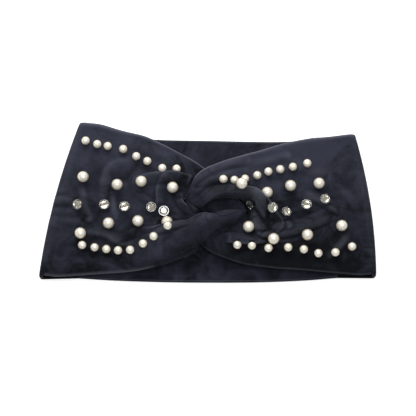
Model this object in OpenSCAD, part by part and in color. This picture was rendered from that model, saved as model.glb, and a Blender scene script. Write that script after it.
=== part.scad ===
// Velvet twist headband, lying on its back panel. Millimetres, +X to the right, +Y to the top edge, +Z up.

/* [Band] */
// Width across the lower corners of the two side folds
band_width = 234.5; // [195:0.5:285]
// Height of the band at its side folds
band_height = 110; // [91:0.5:132]
// Open gap between the back panel and the front straps
loop_gap = 5.4; // [5:0.1:9]
// Length of strap that turns round a side fold on to the back
return_length = 22; // [14:1:32]
// How far a side fold bulges past its own centre line
fold_bulge = 4.5; // [3:0.1:7]
// How much further the fold at each side stands out half way up the band, mm
side_bow = 3.4; // [0:0.1:6]

/* [Velvet] */
// Thickness of one layer of velvet
velvet = 1.4; // [1.1:0.1:2]
// Room between face and lining for the heads of the pins
head_room = 1; // [0.8:0.1:2]
// Height of the gathered folds, as a share of the drawn height
fold_rise = 1; // [0.85:0.01:1.15]

/* [Pearls and stones] */
// Diameter of the small pearls
small_pearl = 6; // [4.5:0.1:7]
// Diameter of the large pearls
large_pearl = 8; // [6:0.1:9.6]
// Diameter of the rhinestones over the girdle
stone_size = 6.2; // [4.8:0.1:7]
// Diameter of the pins that hold pearls and cups
pin_size = 1; // [0.8:0.1:1.2]
// Diameter of the flat heads of the pins
head_size = 2.6; // [2:0.1:3]
// Thickness of the flat heads of the pins
head_thick = 0.4; // [0.3:0.05:0.6]
// Wall of the cups that hold the stones
cup_wall = 0.35; // [0.3:0.05:0.5]

/* [Stitches] */
// Diameter of the sewing thread
thread = 0.35; // [0.25:0.05:0.4]
// Length of one stitch across a seam
stitch_length = 3; // [2:0.1:4]
// Number of stitches along a side seam
stitch_count = 24; // [12:1:32]

/* [Hidden] */
clear = 0.05; // air between pieces that only touch
seam_gap = 0.15; // half the gap at a butted seam
small_fn = 24;
round_fn = 48;

// Levels, from the table up
back_top = 2 * velvet;
lining_floor = back_top + loop_gap;
lining_top = lining_floor + velvet;
edge_level = lining_top + velvet + 2 * clear;
face_level = lining_top + velvet + head_room;
// One strap passes over the other above this level
cross_level = face_level + 2 * clear;
cross_lift = cross_level + velvet - edge_level;

// The plan of the band is drawn at this size and stretched to the size asked for
drawn_width = 234.5;
drawn_height = 110;
wide = band_width / drawn_width;
high = band_height / drawn_height;

// Edges of the two front straps in plan, from the side fold to the knot
left_top = [[-86.5, 55.3], [-75, 53.8], [-61, 49.6], [-47, 46.2], [-40, 43.6], [-30, 38.6], [-19, 32.6],
  [-9, 26.7], [0, 19.8], [10, 11], [20, 1], [27, -8]];
left_bottom = [[-112.5, -54.7], [-103, -55.6], [-79.5, -54.3], [-55, -52.8], [-39, -49.9], [-23, -45.2],
  [-11, -39.1], [-3, -32.2], [4.5, -24.6], [9.5, -23.8], [15, -22], [23, -17], [27, -12]];
right_top = [[100.3, 46.6], [86, 44.8], [72, 43.6], [54, 40], [40, 35.7], [26, 31.5], [11.5, 26.6],
  [-1, 21.2], [-7.8, 15.8], [-11.7, 8.4], [-14, 2.8], [-14.8, -1.6], [-12.4, -5.6], [-7.2, -9.5]];
right_bottom = [[112.8, -54], [104, -54.4], [81.5, -52.6], [63.5, -51.2], [45, -50], [26, -46.9],
  [11, -42.1], [2, -38], [-3, -34], [-8, -28], [-11, -22], [-12, -17], [-11, -14]];
// Where the left strap comes up through the right one
crossing = [[-22, -13], [-12, -12], [-7, -11], [-3.5, -9], [0, -6], [4, -3.6], [10, -2.2], [17, -1.8],
  [23, -2.2], [26.5, -3.6], [28, -6.5], [28, -12], [15, -15], [7, -16.5], [-8, -17.5], [-22, -17]];
// Edges of the back panel from the left seam to the right seam
back_top_edge = [[-64.5, 52.5], [-50, 47.5], [-35, 45.4], [0, 44.6], [50, 43.8], [78.3, 45.6]];
back_low_edge = [[-90.5, -55.5], [-60, -57.3], [-20, -58.4], [30, -58.4], [65, -57.2], [90.8, -55.2]];

// Folds: path of the crest as [x, y, height], reach to its left, reach to its right, sharpness
left_folds_drawn = [
  [[[-80, -47, 0], [-58, -42, 1.5], [-40, -36, 4.5], [-25, -31, 8.5], [-13, -26, 12], [-5, -22, 14],
    [-1.5, -20, 14]], 9.5, 12, 0.9],
  [[[-50, -23.8, 0.5], [-40, -23.8, 2], [-33, -23.2, 4.5], [-27, -22.4, 6], [-20, -20, 3.5],
    [-14, -17.6, 0.5]], 3.2, 6, 0.9],
  [[[7, -15, 4.5], [12, -14.5, 6.5], [19, -12.5, 6.5], [26, -10, 5]], 6, 9, 1],
  [[[9, -10.8, 1.5], [13, -10, 1.8], [19, -8.5, 1.2]], 2, 4, 1],
  [[[-17.5, 0, 1], [-16.7, -2.3, 2.5], [-14.8, -5.6, 3], [-11, -8.8, 3], [-7, -11.4, 2]], 2.5, 6, 1],
  [[[-72.7, 2.5, 0.8], [-72.4, 12.6, 1.8], [-69.6, 20.6, 2.2], [-63.3, 24.9, 2.2],
    [-54.2, 25.3, 1]], 6, 8, 2],
  [[[-48.6, 14, 1], [-40, 15.6, 2.5], [-31, 16.2, 4], [-22, 15.8, 6], [-14, 14.4, 3.5]], 3.2, 7, 1.1],
  [[[-31.8, 12.6, 1], [-34.6, 5.4, 2.2], [-34.6, -1.9, 2.4], [-33.5, -6, 1.2],
    [-32, -8.5, 0.4]], 6, 3, 1.6],
  [[[-33, -18.8, -0.8], [-28, -18.6, -1.2], [-23, -17.4, -0.8]], 3.5, 3, 1.2],
  [[[-92, -22.5, 0.5], [-82.2, -24.8, 1.8], [-71, -27, 2.5], [-63.3, -31.3, 2],
    [-55.6, -33.5, 1]], 7, 5, 2],
  [[[-89, 10, 0.5], [-87.5, 2, 1.5], [-86, -6, 1.5], [-82.2, -13.9, 1]], 5, 6, 2],
  [[[-66.5, 2, 0.5], [-66.1, -2, 1.2], [-65.5, -8, 1.2], [-64, -13, 0.5]], 4, 5, 2],
  [[[-110, -17.7, 0.3], [-96.2, -16.9, 1.2], [-82.9, -17.7, 0.8]], 5, 5, 2],
  [[[-106, -1, 0.4], [-98, -2, 1.2], [-90, -2.5, 0.5]], 5, 5, 2],
  [[[-60, 40, 0.3], [-45, 36, 1.2], [-30, 29, 1.5], [-22, 26, 0.5]], 6, 6, 1.6],
  [[[-50, 4, 0.5], [-44, 0, 1.5], [-38, -6, 1]], 5, 5, 2],
];
right_folds_drawn = [
  [[[-10, 0, 1], [-4.6, 5, 2.2], [0.4, 10.3, 3], [6.7, 13.6, 2.8], [15, 16.5, 1.8],
    [26, 19, 0.6]], 4, 5, 1.6],
  [[[-12, 1, 0.8], [-11, 5, 1.4], [-9, 9.5, 1.4], [-5, 13.5, 1.2], [2, 18, 0.5]], 3, 3, 1.6],
  [[[-6, -9, 2.5], [-3.1, -5.4, 5.5], [0.4, -2, 7.5], [4.6, 0.8, 9], [10.9, 2.7, 9.5], [17.2, 3.1, 9.5],
    [23.5, 2.6, 9], [29, 1, 7.8], [33.2, -2.6, 5.8], [34.8, -7.6, 4.8], [34.6, -12.7, 4.3],
    [34.4, -18, 3.8], [35.8, -22.3, 2.6], [38, -26, 0.8]], 7, 5.5, 1],
  [[[33.5, -15, 0.6], [36, -21, 2.8], [40, -24, 3.8], [46, -24.8, 3.8], [54.3, -24.2, 4.2],
    [64.8, -21.6, 3.6], [75.3, -17.5, 2.6], [86, -12.6, 1]], 7, 5, 0.9],
  [[[20, 6.5, 0.5], [28, 5.5, 3.5], [34.5, 3, 6.5], [39.5, -2.5, 7.5], [43, -6.5, 6.5], [46.5, -11.5, 4.5],
    [50, -17, 2]], 3.2, 9, 0.8],
  [[[5, -29, 0.8], [14, -30, 2.5], [23.5, -30.6, 5], [31, -30.8, 5], [37, -30.8, 3.5], [43, -30.6, 1.5],
    [50, -30.2, 1], [60, -29.8, 0.5]], 6, 3, 1],
  [[[51.4, -12, 0.8], [53.5, -15.7, 1.5], [56.7, -20, 0.8]], 4, 4, 2],
  [[[66, 1.5, 0.5], [72, -0.5, 2], [79, -2.6, 2.2], [91, -9.1, 1]], 7, 4, 1.5],
  [[[98, -24, 0.5], [94, -32, 1.5], [88.5, -38, 1.5], [82.2, -43.7, 0.5]], 5, 6, 2],
  [[[50, 33, 0.4], [60, 27, 1.2], [72, 20, 1.4], [84, 16, 0.6]], 6, 6, 2],
  [[[30, 25, 0.6], [42, 26.5, 1.5], [56, 30, 1]], 5, 5, 2],
  [[[88, 12, 0.4], [96, 4, 1.2], [103, -6, 1], [108, -18, 0.4]], 6, 6, 2],
  [[[5, 20, 1.5], [16, 24, 2.2], [28, 27, 1]], 5, 4, 1.5],
];

// A seat at a set distance from its neighbour, so that the two never meet
function beside(place, way, distance) = concat(place, way / norm(way) * distance);

// Places of the pearls and stones in plan, where each one meets the velvet
left_small_upper = [[-85.7, 40.8], [-77.5, 38.2], [-70.1, 36.7], [-59.1, 34.6], [-50.3, 28.6],
  [-42.2, 25.4], [-31.7, 20.3], [-22, 19.9]];
left_small_lower = [[-86.9, -34.9], [-78.2, -36.6], [-69.8, -38.2], [-61.5, -39.3], [-53, -39.1],
  [-43.9, -35.2], [-36.4, -31], [-26.5, -24.7]];
left_large = [[-87.2, 13.8], [-63, 8.3], [-45.9, 11.1], [-24.4, 6], [-87.5, -25.6], [-68.7, -19.5],
  [-48.3, -18.1], beside([-30.5, -10.4], [2.3, -8], large_pearl / 2 + stone_size / 2 + cup_wall + 0.87)];
left_stones = [[-89.8, -5], [-71.9, -5.7], [-57.8, -7.2], [-38.8, -7.4], [-30.5, -10.4]];
right_small_upper = [[10.3, 12.9], [18.3, 11.9], [26, 12.9], [35.2, 15.3], [42.7, 17.8], [50.9, 19.5],
  [60.2, 22], [69.5, 23.1]];
right_small_lower = [[20.7, -34.7], [31.1, -35.2], [42.4, -37.3], [55.8, -36.8], [66.6, -38.1],
  [76.7, -40.8], [88.2, -39.7], [100.2, -35.9]];
right_large = [[23.7, 4.3], [40.2, 2.5], [57.9, 7.4], [77.8, 9.3], [28.9, -21.9],
  beside([42.4, -37.3], [3, 6.5], large_pearl / 2 + small_pearl / 2 + 0.16), [69.2, -27.9], [93.5, -21.3]];
right_stones = [[31.7, -5.6], [44.6, -8.9], [54.1, -11.9], [69, -5.6], [81.5, -2.5]];

// Grid of the velvet faces
face_rows = 52;
face_columns = 26;
lining_rows = 18;
lining_columns = 8;
fold_steps = 7;
edge_reach = 3;

function ease(x) = let(c = min(max(x, 0), 1)) c * c * (3 - 2 * c);
function stretch(list) = [for (p = list) [p[0] * wide, p[1] * high, len(p) > 2 ? p[2] * fold_rise : 0]];
function between(a, b, c, d, t) = 0.5 * (2 * b + (c - a) * t + (2 * a - 5 * b + 4 * c - d) * t * t
  + (3 * b - a - 3 * c + d) * t * t * t);
// Point at share s of a smooth curve through all the points
function along(p, s) = let(
  n = len(p) - 1,
  f = min(max(s, 0), 1) * n,
  i = min(floor(f), n - 1),
  a = i > 0 ? p[i - 1] : 2 * p[0] - p[1],
  d = i < n - 1 ? p[i + 2] : 2 * p[n] - p[n - 1])
  between(a, p[i], p[i + 1], d, f - i);
function smooth_curve(p, steps) = let(n = (len(p) - 1) * steps) [for (k = [0:n]) along(p, k / n)];

function flat(p) = [p[0], p[1]];
// Distance from q to the piece of path a-b, crest height there, and how squarely q lies to its left
function reach(q, a, b) = let(
  v = flat(b) - flat(a),
  w = q - flat(a),
  f = min(max((w * v) / (v * v), 0), 1))
  [norm(w - f * v), a[2] + (b[2] - a[2]) * f, (v[0] * w[1] - v[1] * w[0]) / max(norm(v) * norm(w), 0.000001)];
function nearest(list) = let(m = min([for (r = list) r[0]])) [for (r = list) if (r[0] <= m) r][0];
function fold_height(q, fold) = let(
  box = fold[4])
  q[0] < box[0] || q[0] > box[1] || q[1] < box[2] || q[1] > box[3] ? 0 : let(
  path = fold[0],
  r = nearest([for (i = [0:len(path) - 2]) reach(q, path[i], path[i + 1])]),
  side = min(max(r[2] * 1.6, -1), 1),
  share = min(r[0] / ((fold[1] + fold[2]) / 2 + side * (fold[1] - fold[2]) / 2), 1))
  r[1] * pow(1 - share * share, fold[3]);
function ready(folds) = [for (f = folds) let(
  path = smooth_curve(stretch(f[0]), 3),
  wide_reach = max(f[1], f[2]))
  [path, f[1], f[2], f[3],
    [min([for (p = path) p[0]]) - wide_reach, max([for (p = path) p[0]]) + wide_reach,
     min([for (p = path) p[1]]) - wide_reach, max([for (p = path) p[1]]) + wide_reach]]];
function total(list, i = 0) = i >= len(list) ? 0 : list[i] + total(list, i + 1);
function folds_at(q, folds) = total([for (f = folds) fold_height(q, f)]);
function edge_distance(q, line) = min([for (i = [0:len(line) - 2]) reach(q, line[i], line[i + 1])[0]]);

left_top_line = stretch(left_top);
left_bottom_line = stretch(left_bottom);
right_top_line = stretch(right_top);
right_bottom_line = stretch(right_bottom);
left_top_fine = smooth_curve(left_top_line, 3);
left_bottom_fine = smooth_curve(left_bottom_line, 3);
right_top_fine = smooth_curve(right_top_line, 3);
right_bottom_fine = smooth_curve(right_bottom_line, 3);
left_folds = ready(left_folds_drawn);
right_folds = ready(right_folds_drawn);

// Height of the outside of each face above the table
function edge_round(d) = let(c = min(d / edge_reach, 1)) sqrt(1 - (1 - c) * (1 - c));
// Share of the way up to the crossing level, and share of the way down to lie under the other strap
function left_over(q) = ease((q[0] / wide + 22) / 12) * ease((-8 - q[1] / high) / 5);
function left_under(q) = let(x = q[0] / wide, y = q[1] / high)
  ease((x * 0.69 + y * 0.73 + 14.4) / 1.6) * ease((x + 18 - 0.5 * max(y - 2, 0)) / 2.7)
  * ease((y + 11 - 0.5 * min(x, 0)) / 4);
function left_height(q) = let(
  edge = edge_level + left_over(q) * cross_lift,
  rise = 1.5 * ease((q[0] / wide + 95) / 60) - 1.5 * ease((q[0] / wide + 24) / 12),
  free = max(face_level + rise + folds_at(q, left_folds), edge),
  full = free + (min(free, face_level) - free) * left_under(q),
  d = min(edge_distance(q, left_top_fine), edge_distance(q, left_bottom_fine)))
  edge + (full - edge) * edge_round(d);
function right_over(q) = ease((30 - q[0] / wide) / 20) * ease((q[1] / high + 12) / 6);
function right_under(q) = ease((16 - q[0] / wide) / 5) * ease((-12 - q[1] / high) / 4);
function right_height(q) = let(
  edge = edge_level + right_over(q) * cross_lift,
  rise = 1.5 * ease((100 - q[0] / wide) / 60) * ease((q[0] / wide - 25) / 20),
  free = max(face_level + rise + folds_at(q, right_folds) + right_over(q) * cross_lift, edge),
  full = free + (min(free, face_level) - free) * right_under(q),
  d = min(edge_distance(q, right_top_fine), edge_distance(q, right_bottom_fine)))
  edge + (full - edge) * edge_round(d);

// Grid of the outside of a face, and the inside that follows it one thickness below
function plan_point(top, bottom, s, t) = let(
  low = flat(along(bottom, s)),
  up = flat(along(top, s)))
  low + (up - low) * t;
function front_grid(top, bottom, left) = [for (i = [0:face_rows]) [for (j = [0:face_columns]) let(
  q = plan_point(top, bottom, i / face_rows, j / face_columns))
  [q[0], q[1], left ? left_height(q) : right_height(q)]]];
function slope(a, b) = abs(a[2] - b[2]) / max(norm(flat(a) - flat(b)), 0.1);
function thick_at(g, i, j) = let(
  n = len(g) - 1,
  m = len(g[0]) - 1,
  s = max(slope(g[max(i - 1, 0)][j], g[min(i + 1, n)][j]),
    slope(g[i][max(j - 1, 0)], g[i][min(j + 1, m)])))
  velvet * min(sqrt(1 + s * s), 2.2);
function front_inside(g, left) = [for (i = [0:len(g) - 1]) [for (j = [0:len(g[0]) - 1]) let(
  over = left ? left_over(flat(g[i][j])) : right_over(flat(g[i][j])),
  lowest = lining_top + clear + (cross_level - lining_top - clear) * over)
  [g[i][j][0], g[i][j][1], max(g[i][j][2] - thick_at(g, i, j), lowest)]]];

// End of a strap on the back, at share t of its height from the lower edge
function root_at(side, t) = side < 0 ? plan_point(left_top_line, left_bottom_line, 0, t)
  : plan_point(right_top_line, right_bottom_line, 0, t);
function rear_drop(side, t) = -high * (side < 0 ? 0.8 + 2 * t : 1.2 - 0.2 * t);
function rear_end(side, t) = root_at(side, t) + [-side * return_length, rear_drop(side, t)];
// How much further the side fold stands out at share t of its height
function bow_at(t) = side_bow * 4 * t * (1 - t);
// Rows that lead from the rear seam round the side fold to the first row of the front
function wrap_rows(side, first, low, bulge) = let(n = len(first) - 1) concat(
  [for (share = [0, 0.5]) [for (j = [0:n]) let(
    r = rear_end(side, j / n) + [side * seam_gap, 0],
    f = first[j])
    [r[0] + (f[0] - r[0]) * share, r[1] + (f[1] - r[1]) * share, low]]],
  [for (k = [0:fold_steps - 1]) [for (j = [0:n]) let(
    f = first[j],
    angle = 180 - 180 * k / fold_steps,
    half = (f[2] - low) / 2)
    [f[0] + side * (bulge + bow_at(j / n)) * sin(angle), f[1], low + half + half * cos(angle)]]]);

module closed_sheet(outside, inside, left) {
  n = len(outside);
  m = len(outside[0]);
  shift = n * m;
  skin = [for (i = [0:n - 2]) for (j = [0:m - 2]) let(a = i * m + j, b = a + 1, c = a + m + 1, d = a + m)
    each [[a, b, c], [a, c, d]]];
  under = [for (f = skin) [f[2] + shift, f[1] + shift, f[0] + shift]];
  ends = [for (j = [0:m - 2]) for (i = [0, n - 1]) let(a = i * m + j, b = a + 1, c = a + shift, d = b + shift)
    each (i == 0 ? [[b, a, c], [b, c, d]] : [[a, b, d], [a, d, c]])];
  sides = [for (i = [0:n - 2]) for (j = [0, m - 1]) let(a = i * m + j, b = a + m, c = a + shift, d = b + shift)
    each (j == 0 ? [[a, b, d], [a, d, c]] : [[b, a, c], [b, c, d]])];
  all_faces = concat(skin, under, ends, sides);
  polyhedron(
    points = concat([for (r = outside) each r], [for (r = inside) each r]),
    faces = left ? all_faces : [for (f = all_faces) [f[2], f[1], f[0]]]);
}

module face_sheet(left) {
  side = left ? -1 : 1;
  front = left ? front_grid(left_top_line, left_bottom_line, true)
    : front_grid(right_top_line, right_bottom_line, false);
  inner = front_inside(front, left);
  closed_sheet(
    concat(wrap_rows(side, front[0], 0, fold_bulge), front),
    concat(wrap_rows(side, inner[0], velvet - clear, fold_bulge - velvet), inner),
    left);
}

// The lining runs flat under the face, from the rear seam to the middle of the knot
knot_x = -1 * wide;
function lining_line(left, s, t) =
  left ? flat(along(left_bottom_line, s * 0.6)) * (1 - t) + flat(along(left_top_line, s * 0.715)) * t
    : flat(along(right_bottom_line, s * 0.625)) * (1 - t) + flat(along(right_top_line, s * 0.535)) * t;
function lining_point(left, s, t) = let(
  q = lining_line(left, s, t),
  last = lining_line(left, 1, t),
  end = knot_x + (left ? -seam_gap : seam_gap))
  [q[0] + (end - last[0]) * pow(s, 3), q[1]];
function lining_rows_at(left, z) = [for (i = [0:lining_rows]) [for (j = [0:lining_columns]) let(
  q = lining_point(left, i / lining_rows, j / lining_columns))
  [q[0], q[1], z]]];
module lining_sheet(left) {
  side = left ? -1 : 1;
  upper = lining_rows_at(left, lining_top);
  lower = lining_rows_at(left, lining_floor);
  bulge = fold_bulge - velvet - 12 * clear;
  closed_sheet(
    concat(wrap_rows(side, upper[0], velvet, bulge), upper),
    concat(wrap_rows(side, lower[0], back_top, bulge - velvet), lower),
    left);
}

// A seat is the place on the cloth and the direction that stands square to it
function cloth(q, left) = left ? left_height(q) : right_height(q);
function square_to(q, left) = let(
  e = 0.8,
  n = [cloth(q - [e, 0], left) - cloth(q + [e, 0], left), cloth(q - [0, e], left) - cloth(q + [0, e], left), 2 * e])
  n / norm(n);
module on_cloth(place, left) {
  q = [place[0] * wide + (len(place) > 2 ? place[2] : 0), place[1] * high + (len(place) > 3 ? place[3] : 0)];
  n = square_to(q, left);
  translate([q[0], q[1], cloth(q, left)])
    rotate([0, acos(n[2]), atan2(n[1], n[0])])
      children();
}

module pearl(size) {
  translate([0, 0, size / 2 + clear])
    difference() {
      sphere(d = size, $fn = round_fn);
      translate([0, 0, -size / 2 - 1])
        cylinder(d = pin_size + 2 * clear, h = size * 0.6 + 1, $fn = small_fn);
    }
}
module pin(reach_up) {
  translate([0, 0, -velvet - 3 * clear - head_thick])
    cylinder(d = head_size, h = head_thick, $fn = small_fn);
  translate([0, 0, -velvet - 3 * clear - head_thick / 2])
    cylinder(d = pin_size, h = velvet + 3 * clear + head_thick / 2 + reach_up, $fn = small_fn);
}
module pin_room() {
  translate([0, 0, -3 * velvet])
    cylinder(d = pin_size + 2 * clear, h = 3 * velvet + 1, $fn = 12);
  translate([0, 0, -velvet - 4 * clear - head_thick])
    cylinder(d = head_size + 2 * clear, h = head_thick + 2 * clear, $fn = 12);
}
module pearl_dent(size) {
  hull() translate([0, 0, size / 2 + clear]) sphere(d = size + 2 * clear, $fn = small_fn);
  pin_room();
}

// Stone and the cup that holds it with four claws
stone_depth = stone_size * 0.4;
crown_height = stone_size * 0.24;
girdle = 0.25;
cup_floor = 0.35;
cup_height = cup_floor + stone_depth;
girdle_z = clear + cup_height + clear;
cup_radius = stone_size / 2 + cup_wall + clear;
cup_foot = stone_size * 0.22;
module cut_stone() {
  translate([0, 0, girdle_z])
    hull() {
      translate([0, 0, -stone_depth + clear]) cylinder(r = 0.05, h = 0.01, $fn = 12);
      cylinder(d = stone_size, h = girdle, $fn = 12);
      translate([0, 0, girdle + crown_height - 0.01]) cylinder(d = stone_size * 0.56, h = 0.01, $fn = 12);
    }
}
module claw_cup() {
  difference() {
    translate([0, 0, clear])
      cylinder(r1 = cup_foot + cup_wall, r2 = cup_radius, h = cup_height + girdle, $fn = round_fn);
    translate([0, 0, clear + cup_floor])
      cylinder(r1 = cup_foot * 0.5, r2 = stone_size / 2 + clear, h = cup_height - cup_floor + 2 * clear, $fn = round_fn);
    translate([0, 0, clear + cup_height + clear])
      cylinder(d = stone_size + 2 * clear, h = girdle + 1, $fn = round_fn);
  }
  for (turn = [45:90:315])
    rotate(turn) {
      translate([stone_size / 2 + clear, -0.45, girdle_z])
        cube([cup_wall, 0.9, girdle + 0.75]);
      translate([stone_size / 2 - 0.3, -0.45, girdle_z + girdle + 0.5])
        cube([0.3 + clear + cup_wall, 0.9, 0.25]);
    }
  translate([0, 0, clear / 2]) pin(0.5);
}
module cup_dent() {
  hull()
    cylinder(r1 = cup_foot + cup_wall + clear, r2 = cup_radius + clear, h = cup_height + girdle, $fn = small_fn);
  pin_room();
}

module face_cuts(left) {
  for (q = left ? concat(left_small_upper, left_small_lower) : concat(right_small_upper, right_small_lower))
    on_cloth(q, left) pearl_dent(small_pearl);
  for (q = left ? left_large : right_large)
    on_cloth(q, left) pearl_dent(large_pearl);
  for (q = left ? left_stones : right_stones)
    on_cloth(q, left) cup_dent();
}
module crossing_slit() {
  translate([0, 0, lining_top])
    linear_extrude(60) polygon([for (p = stretch(crossing)) flat(p)]);
}

// Outline of the back panel, whose two ends butt against the straps
function panel_edge(list, t) = let(n = len(list) - 1) smooth_curve(
  [for (i = [0:n]) i == 0 ? rear_end(-1, t) + [seam_gap, 0] : i == n ? rear_end(1, t) - [seam_gap, 0]
    : [list[i][0] * wide, list[i][1] * high]], 4);
panel_outline = let(up = panel_edge(back_top_edge, 1), low = panel_edge(back_low_edge, 0))
  concat(low, [for (i = [len(up) - 1:-1:0]) up[i]]);

module stitch() {
  translate([-stitch_length / 2, 0, 0]) rotate([0, 90, 0]) cylinder(d = thread, h = stitch_length, $fn = small_fn);
}
module seam_row(side) {
  for (k = [0:stitch_count - 1]) {
    p = rear_end(side, (k + 0.5) / stitch_count);
    translate([p[0], p[1], back_top + thread / 2 + clear]) stitch();
  }
}

velvet_colour = "#262734";
lining_colour = "#1d1e28";
pearl_colour = "#f2ead8";
stone_colour = "#dfe8ee";
metal_colour = "#c9ccd0";
thread_colour = "#15161d";

module back_face() color(velvet_colour) linear_extrude(velvet) polygon(panel_outline);
module back_lining() color(lining_colour) translate([0, 0, velvet]) linear_extrude(velvet) polygon(panel_outline);
module left_lining() color(lining_colour) lining_sheet(true);
module right_lining() color(lining_colour) lining_sheet(false);
module left_face() color(velvet_colour) difference() {
  face_sheet(true);
  face_cuts(true);
}
module right_face() color(velvet_colour) difference() {
  face_sheet(false);
  crossing_slit();
  face_cuts(false);
}
module left_seam_stitches() color(thread_colour) seam_row(-1);
module right_seam_stitches() color(thread_colour) seam_row(1);
module knot_stitches() color(thread_colour)
  for (k = [0:5])
    translate([knot_x, (-22 + k * 6) * high, lining_floor - thread / 2 - clear]) stitch();

module small_pearls(list, left) color(pearl_colour) for (q = list) on_cloth(q, left) pearl(small_pearl);
module small_pins(list, left) color(metal_colour) for (q = list) on_cloth(q, left) pin(small_pearl * 0.5);
module large_pearl(q, left) color(pearl_colour) on_cloth(q, left) pearl(large_pearl);
module large_pins(list, left) color(metal_colour) for (q = list) on_cloth(q, left) pin(large_pearl * 0.5);
module stone_at(q, left) color(stone_colour) on_cloth(q, left) cut_stone();
module cup_at(q, left) color(metal_colour) on_cloth(q, left) claw_cup();

left_face();
left_lining();
right_face();
right_lining();
back_face();
back_lining();
left_seam_stitches();
right_seam_stitches();
knot_stitches();
small_pearls(left_small_upper, true);  // left_small_pearls_upper
small_pearls(left_small_lower, true);  // left_small_pearls_lower
small_pearls(right_small_upper, false);  // right_small_pearls_upper
small_pearls(right_small_lower, false);  // right_small_pearls_lower
small_pins(concat(left_small_upper, left_small_lower), true);  // left_small_pins
small_pins(concat(right_small_upper, right_small_lower), false);  // right_small_pins
large_pins(left_large, true);  // left_large_pins
large_pins(right_large, false);  // right_large_pins
large_pearl(left_large[0], true);  // left_large_pearl_1
large_pearl(left_large[1], true);  // left_large_pearl_2
large_pearl(left_large[2], true);  // left_large_pearl_3
large_pearl(left_large[3], true);  // left_large_pearl_4
large_pearl(left_large[4], true);  // left_large_pearl_5
large_pearl(left_large[5], true);  // left_large_pearl_6
large_pearl(left_large[6], true);  // left_large_pearl_7
large_pearl(left_large[7], true);  // left_large_pearl_8
stone_at(left_stones[0], true);  // left_stone_1
stone_at(left_stones[1], true);  // left_stone_2
stone_at(left_stones[2], true);  // left_stone_3
stone_at(left_stones[3], true);  // left_stone_4
stone_at(left_stones[4], true);  // left_stone_5
cup_at(left_stones[0], true);  // left_cup_1
cup_at(left_stones[1], true);  // left_cup_2
cup_at(left_stones[2], true);  // left_cup_3
cup_at(left_stones[3], true);  // left_cup_4
cup_at(left_stones[4], true);  // left_cup_5
large_pearl(right_large[0], false);  // right_large_pearl_1
large_pearl(right_large[1], false);  // right_large_pearl_2
large_pearl(right_large[2], false);  // right_large_pearl_3
large_pearl(right_large[3], false);  // right_large_pearl_4
large_pearl(right_large[4], false);  // right_large_pearl_5
large_pearl(right_large[5], false);  // right_large_pearl_6
large_pearl(right_large[6], false);  // right_large_pearl_7
large_pearl(right_large[7], false);  // right_large_pearl_8
stone_at(right_stones[0], false);  // right_stone_1
stone_at(right_stones[1], false);  // right_stone_2
stone_at(right_stones[2], false);  // right_stone_3
stone_at(right_stones[3], false);  // right_stone_4
stone_at(right_stones[4], false);  // right_stone_5
cup_at(right_stones[0], false);  // right_cup_1
cup_at(right_stones[1], false);  // right_cup_2
cup_at(right_stones[2], false);  // right_cup_3
cup_at(right_stones[3], false);  // right_cup_4
cup_at(right_stones[4], false);  // right_cup_5
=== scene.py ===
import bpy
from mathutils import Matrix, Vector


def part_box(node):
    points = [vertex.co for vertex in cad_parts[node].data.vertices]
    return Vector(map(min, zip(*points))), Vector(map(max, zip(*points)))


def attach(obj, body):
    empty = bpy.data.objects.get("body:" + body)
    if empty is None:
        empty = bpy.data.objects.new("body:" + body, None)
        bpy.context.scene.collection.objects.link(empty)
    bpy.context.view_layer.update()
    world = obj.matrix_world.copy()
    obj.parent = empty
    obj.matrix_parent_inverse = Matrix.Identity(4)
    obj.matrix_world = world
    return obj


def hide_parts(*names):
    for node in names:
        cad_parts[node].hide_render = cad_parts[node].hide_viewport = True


bl_info = {
    "name": "Velvet twist headband",
    "version": (1, 0, 0),
    "blender": (4, 5, 0),
    "location": "View3D > Sidebar > Headband",
    "description": "Builds a velvet headband with a twisted knot, pearls and set stones",
    "category": "Object",
}

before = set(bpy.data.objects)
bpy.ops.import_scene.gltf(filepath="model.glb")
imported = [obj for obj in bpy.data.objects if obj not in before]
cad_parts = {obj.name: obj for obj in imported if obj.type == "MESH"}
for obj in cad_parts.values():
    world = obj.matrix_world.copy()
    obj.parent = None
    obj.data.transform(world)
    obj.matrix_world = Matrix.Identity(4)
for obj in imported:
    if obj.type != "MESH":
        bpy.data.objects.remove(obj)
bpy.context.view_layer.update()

import math

import bmesh
import bpy
import numpy as np
from bpy.props import FloatProperty, FloatVectorProperty, IntProperty, PointerProperty
from mathutils import Matrix, Vector, noise

MM = 0.001

# Levels of the layers in millimetres, from the table up, read from the frame
BACK_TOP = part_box("back_lining")[1][2] / MM
LINING_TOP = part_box("left_lining")[1][2] / MM
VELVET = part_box("back_face")[1][2] / MM
CLEAR = 0.05
EDGE_LEVEL = LINING_TOP + VELVET + 2 * CLEAR
FACE_LEVEL = LINING_TOP + VELVET + 1.0
CROSS_LEVEL = FACE_LEVEL + 2 * CLEAR
CROSS_LIFT = CROSS_LEVEL + VELVET - EDGE_LEVEL
EDGE_REACH = 3.0
FOLD_BULGE = 4.5
SIDE_BOW = 3.4
SIDE_SQUARE = 0.6
RETURN_LENGTH = 22.0
SEAM_GAP = 0.02
KNOT_X = -1.0
KNOT_MIDDLE = (2.0, -10.0)
CUP_RADIUS = 3.0
STUD_ROOM = 0.05

# Rows of cloth round the side fold and along the return on the back
SIDE_ROWS = 26
REAR_ROWS = 12

# Linings: how far along the strap's two edges each one runs, and how far inside them it stays
LEFT_LINING_SHARES = (0.715, 0.6)
RIGHT_LINING_SHARES = (0.535, 0.625)
LINING_INSET = 1.3

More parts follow.
